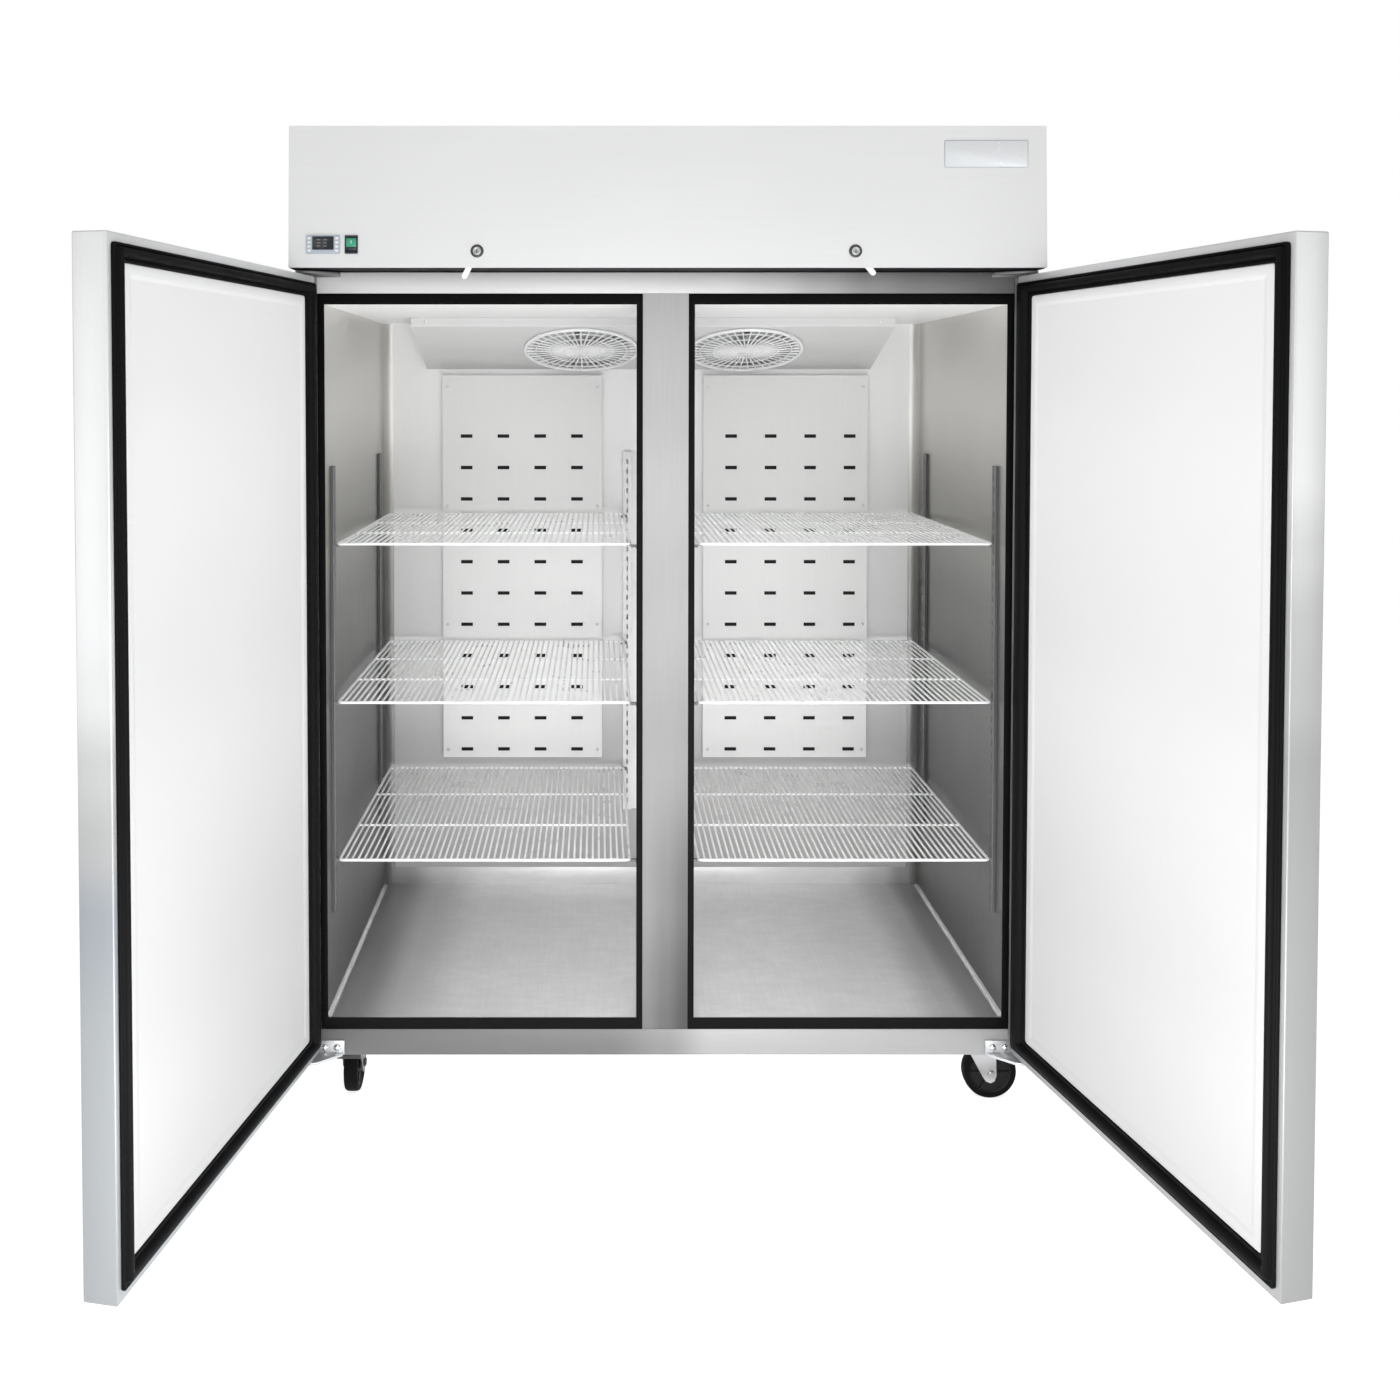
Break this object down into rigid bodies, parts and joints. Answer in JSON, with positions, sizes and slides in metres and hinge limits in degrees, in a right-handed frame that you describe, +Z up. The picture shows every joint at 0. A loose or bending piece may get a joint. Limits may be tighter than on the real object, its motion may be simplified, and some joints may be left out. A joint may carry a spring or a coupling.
{
  "type": "reach in refrigerator",
  "caption": "Upright two-door stainless reach-in refrigerator on swivel casters, with hinged insulated doors, wire shelves on clips and a top-mounted machine compartment",
  "frame": {"origin": "on the floor, under the middle of the cabinet's front face; with the doors open as stored this is also within 15 mm of the bottom centre of the bounding box", "axes": "+X to the right as seen from the front, +Y into the cabinet, +Z up"},
  "size_m": [1.8104, 1.5037, 1.99],
  "materials": {
    "stainless": "brushed stainless sheet",
    "header_steel": "bright satin stainless",
    "liner_steel": "satin stainless liner",
    "zinc_steel": "bright zinc-plated steel",
    "foam": "rigid foam",
    "black_plastic": "matt black moulded plastic",
    "white_panel": "smooth white panel",
    "gasket_rubber": "soft black magnetic seal",
    "white_wire": "white coated wire",
    "chrome_steel": "bright chrome plate",
    "wheel_rubber": "hard black rubber",
    "aluminium_fins": "bare aluminium fins",
    "black_enamel": "black enamel",
    "grey_bezel": "blue-grey moulded plastic",
    "navy_plastic": "dark moulded plastic",
    "green_plastic": "translucent green rocker"
  },
  "bodies": {
    "cabinet": {"side_panel_left": "stainless", "side_panel_right": "stainless", "rear_panel": "stainless", "top_panel": "stainless", "top_rail": "stainless", "sill_rail": "stainless", "centre_mullion": "stainless", "centre_post": "stainless", "header_cover": "header_steel", "base_panel": "zinc_steel", "inner_liner": "liner_steel", "duct_panel_left": "liner_steel", "duct_panel_right": "liner_steel", "evaporator_cover": "liner_steel", "insulation_core": "foam", "breaker_frame": "black_plastic", "fan_guard_left": "white_wire", "fan_guard_right": "white_wire", "pilaster_left_front": "zinc_steel", "pilaster_left_rear": "zinc_steel", "pilaster_right_front": "zinc_steel", "pilaster_right_rear": "zinc_steel", "pilaster_centre_rear": "zinc_steel", "hinge_lower_left": "zinc_steel", "hinge_lower_right": "zinc_steel", "hinge_upper_left": "zinc_steel", "hinge_upper_right": "zinc_steel", "evaporator_coil": "aluminium_fins", "condenser_coil": "aluminium_fins", "compressor": "black_enamel", "controller": "grey_bezel", "switch_bezel": "navy_plastic"},
    "door_left": {"door_left_skin": "stainless", "door_left_core": "foam", "door_left_liner": "white_panel", "door_left_gasket": "gasket_rubber"},
    "door_right": {"door_right_skin": "stainless", "door_right_core": "foam", "door_right_liner": "white_panel", "door_right_gasket": "gasket_rubber"},
    "lock_left_plug": {"lock_left": "chrome_steel"},
    "lock_right_plug": {"lock_right": "chrome_steel"},
    "rocker": {"switch_rocker": "green_plastic"},
    "shelf_left_upper_body": {"shelf_left_upper": "white_wire"},
    "shelf_left_middle_body": {"shelf_left_middle": "white_wire"},
    "shelf_left_lower_body": {"shelf_left_lower": "white_wire"},
    "shelf_right_upper_body": {"shelf_right_upper": "white_wire"},
    "shelf_right_middle_body": {"shelf_right_middle": "white_wire"},
    "shelf_right_lower_body": {"shelf_right_lower": "white_wire"},
    "evaporator_fan_left_rotor": {"evaporator_fan_left": "black_plastic"},
    "evaporator_fan_right_rotor": {"evaporator_fan_right": "black_plastic"},
    "condenser_fan_rotor": {"condenser_fan": "black_plastic"},
    "caster_front_left_fork": {"caster_fork_front_left": "chrome_steel"},
    "caster_front_left_wheel": {"caster_wheel_front_left": "wheel_rubber"},
    "caster_front_right_fork": {"caster_fork_front_right": "chrome_steel"},
    "caster_front_right_wheel": {"caster_wheel_front_right": "wheel_rubber"},
    "caster_rear_left_fork": {"caster_fork_rear_left": "chrome_steel"},
    "caster_rear_left_wheel": {"caster_wheel_rear_left": "wheel_rubber"},
    "caster_rear_right_fork": {"caster_fork_rear_right": "chrome_steel"},
    "caster_rear_right_wheel": {"caster_wheel_rear_right": "wheel_rubber"}
  },
  "joints": [
    {"name": "door_left_hinge", "type": "hinge", "parent": "cabinet", "child": "door_left", "pos_m": [-0.721, -0.032, 0.9], "axis": [0, 0, 1], "range_deg": [-11.2, 100.8]},
    {"name": "door_right_hinge", "type": "hinge", "parent": "cabinet", "child": "door_right", "pos_m": [0.721, -0.032, 0.9], "axis": [0, 0, 1], "range_deg": [-102.9, 9.1]},
    {"name": "lock_left_turn", "type": "hinge", "parent": "cabinet", "child": "lock_left_plug", "pos_m": [-0.372, -0.06861, 1.74497], "axis": [0, 0.9991, -0.0433], "range_deg": [-27, 63]},
    {"name": "lock_right_turn", "type": "hinge", "parent": "cabinet", "child": "lock_right_plug", "pos_m": [0.366, -0.06861, 1.74497], "axis": [0, 0.9991, -0.0433], "range_deg": [-50, 40]},
    {"name": "power_switch_rock", "type": "hinge", "parent": "cabinet", "child": "rocker", "pos_m": [-0.617, -0.06608, 1.75737], "axis": [1, 0, 0], "range_deg": [-16, 0]},
    {"name": "shelf_left_upper_lift", "type": "slide", "parent": "cabinet", "child": "shelf_left_upper_body", "axis": [0, 0, 1], "range_m": [0, 0.02]},
    {"name": "shelf_left_middle_lift", "type": "slide", "parent": "cabinet", "child": "shelf_left_middle_body", "axis": [0, 0, 1], "range_m": [0, 0.02]},
    {"name": "shelf_left_lower_lift", "type": "slide", "parent": "cabinet", "child": "shelf_left_lower_body", "axis": [0, 0, 1], "range_m": [0, 0.02]},
    {"name": "shelf_right_upper_lift", "type": "slide", "parent": "cabinet", "child": "shelf_right_upper_body", "axis": [0, 0, 1], "range_m": [0, 0.02]},
    {"name": "shelf_right_middle_lift", "type": "slide", "parent": "cabinet", "child": "shelf_right_middle_body", "axis": [0, 0, 1], "range_m": [0, 0.02]},
    {"name": "shelf_right_lower_lift", "type": "slide", "parent": "cabinet", "child": "shelf_right_lower_body", "axis": [0, 0, 1], "range_m": [0, 0.02]},
    {"name": "evaporator_fan_left_spin", "type": "hinge", "parent": "cabinet", "child": "evaporator_fan_left_rotor", "pos_m": [-0.177, 0.575, 1.57745], "axis": [0, 0.3216, 0.9469], "continuous": true},
    {"name": "evaporator_fan_right_spin", "type": "hinge", "parent": "cabinet", "child": "evaporator_fan_right_rotor", "pos_m": [0.226, 0.575, 1.57745], "axis": [0, 0.3216, 0.9469], "continuous": true},
    {"name": "condenser_fan_spin", "type": "hinge", "parent": "cabinet", "child": "condenser_fan_rotor", "pos_m": [-0.16, 0.169, 1.8213], "axis": [0, 1, 0], "continuous": true},
    {"name": "caster_front_left_swivel", "type": "hinge", "parent": "cabinet", "child": "caster_front_left_fork", "pos_m": [-0.65, 0.066, 0.12], "axis": [0, 0, 1], "continuous": true},
    {"name": "caster_front_left_roll", "type": "hinge", "parent": "caster_front_left_fork", "child": "caster_front_left_wheel", "pos_m": [-0.65, 0.096, 0.055], "axis": [-1, 0, 0], "continuous": true},
    {"name": "caster_front_right_swivel", "type": "hinge", "parent": "cabinet", "child": "caster_front_right_fork", "pos_m": [0.65, 0.066, 0.12], "axis": [0, 0, 1], "continuous": true},
    {"name": "caster_front_right_roll", "type": "hinge", "parent": "caster_front_right_fork", "child": "caster_front_right_wheel", "pos_m": [0.68, 0.066, 0.055], "axis": [0, 1, 0], "continuous": true},
    {"name": "caster_rear_left_swivel", "type": "hinge", "parent": "cabinet", "child": "caster_rear_left_fork", "pos_m": [-0.65, 0.68, 0.12], "axis": [0, 0, 1], "continuous": true},
    {"name": "caster_rear_left_roll", "type": "hinge", "parent": "caster_rear_left_fork", "child": "caster_rear_left_wheel", "pos_m": [-0.635, 0.70598, 0.055], "axis": [-0.866, 0.5, 0], "continuous": true},
    {"name": "caster_rear_right_swivel", "type": "hinge", "parent": "cabinet", "child": "caster_rear_right_fork", "pos_m": [0.65, 0.68, 0.12], "axis": [0, 0, 1], "continuous": true},
    {"name": "caster_rear_right_roll", "type": "hinge", "parent": "caster_rear_right_fork", "child": "caster_rear_right_wheel", "pos_m": [0.635, 0.70598, 0.055], "axis": [-0.866, -0.5, 0], "continuous": true}
  ]
}
